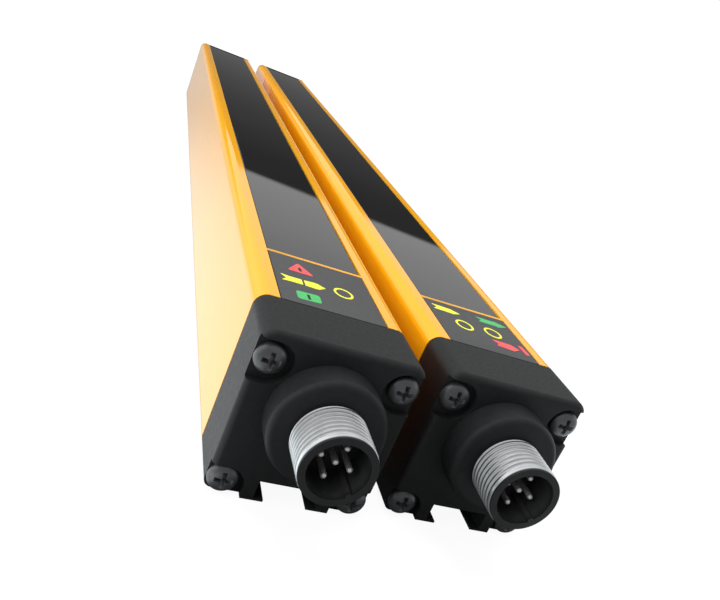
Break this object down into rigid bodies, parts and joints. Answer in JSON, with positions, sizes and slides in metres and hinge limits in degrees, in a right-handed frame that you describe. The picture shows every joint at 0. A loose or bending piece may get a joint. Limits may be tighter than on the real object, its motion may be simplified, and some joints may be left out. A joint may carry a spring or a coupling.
{
  "type": "safety light curtain",
  "caption": "Safety light curtain: slim yellow emitter and receiver bars with dark optical windows, status legends, screwed black end caps and round threaded connectors.",
  "frame": {"origin": "centre of the set's footprint on the surface that the bars lie on", "axes": "+Y along the bars from the connectors to the far ends, +Z out of the optical windows, +X from the emitter to the receiver"},
  "size_m": [0.0606, 0.3586, 0.03],
  "materials": {
    "yellow_paint": "gloss powder coat over extruded aluminium",
    "window_dark": "polished dark infrared window",
    "legend_print": "satin printed film",
    "black_moulding": "fine satin moulding",
    "black_rubber": "soft seal rubber",
    "dark_screw": "blackened steel",
    "plated_sleeve": "satin nickel plate",
    "contact_metal": "plated contacts",
    "board_green": "circuit board",
    "clear_optics": "clear moulded lenses and guides",
    "chip_black": "moulded packages",
    "diode_resin": "tinted diode resin",
    "lead_jacket": "lead insulation",
    "foam_grey": "closed cell foam"
  },
  "bodies": {
    "root": {"emitter_housing": "yellow_paint", "emitter_front_window": "window_dark", "emitter_window_seals": "black_rubber", "emitter_legend_film": "legend_print", "emitter_connector_cap": "black_moulding", "emitter_cap_gasket": "black_rubber", "emitter_cap_screws": "dark_screw", "emitter_end_plate": "black_moulding", "emitter_end_gasket": "black_rubber", "emitter_end_screws": "dark_screw", "emitter_connector_sleeve": "plated_sleeve", "emitter_connector_seal": "black_rubber", "emitter_contact_carrier": "black_moulding", "emitter_contact_pins": "contact_metal", "emitter_connector_board": "board_green", "emitter_connector_leads": "lead_jacket", "emitter_lead_socket": "black_moulding", "emitter_main_board": "board_green", "emitter_optics_carrier": "black_moulding", "emitter_lens_strip": "clear_optics", "emitter_status_board": "board_green", "emitter_status_lamps": "clear_optics", "emitter_status_header": "black_moulding", "emitter_light_guide": "clear_optics", "emitter_controller_chips": "chip_black", "emitter_supply_capacitors": "chip_black", "emitter_ground_spring": "contact_metal", "emitter_end_block": "foam_grey", "emitter_infrared_lamps": "diode_resin", "receiver_housing": "yellow_paint", "receiver_front_window": "window_dark", "receiver_window_seals": "black_rubber", "receiver_legend_film": "legend_print", "receiver_connector_cap": "black_moulding", "receiver_cap_gasket": "black_rubber", "receiver_cap_screws": "dark_screw", "receiver_end_plate": "black_moulding", "receiver_end_gasket": "black_rubber", "receiver_end_screws": "dark_screw", "receiver_connector_sleeve": "plated_sleeve", "receiver_connector_seal": "black_rubber", "receiver_contact_carrier": "black_moulding", "receiver_contact_pins": "contact_metal", "receiver_connector_board": "board_green", "receiver_connector_leads": "lead_jacket", "receiver_lead_socket": "black_moulding", "receiver_main_board": "board_green", "receiver_optics_carrier": "black_moulding", "receiver_lens_strip": "clear_optics", "receiver_status_board": "board_green", "receiver_status_lamps": "clear_optics", "receiver_status_header": "black_moulding", "receiver_light_guide": "clear_optics", "receiver_controller_chips": "chip_black", "receiver_supply_capacitors": "chip_black", "receiver_ground_spring": "contact_metal", "receiver_end_block": "foam_grey", "receiver_light_sensors": "diode_resin"}
  },
  "joints": []
}
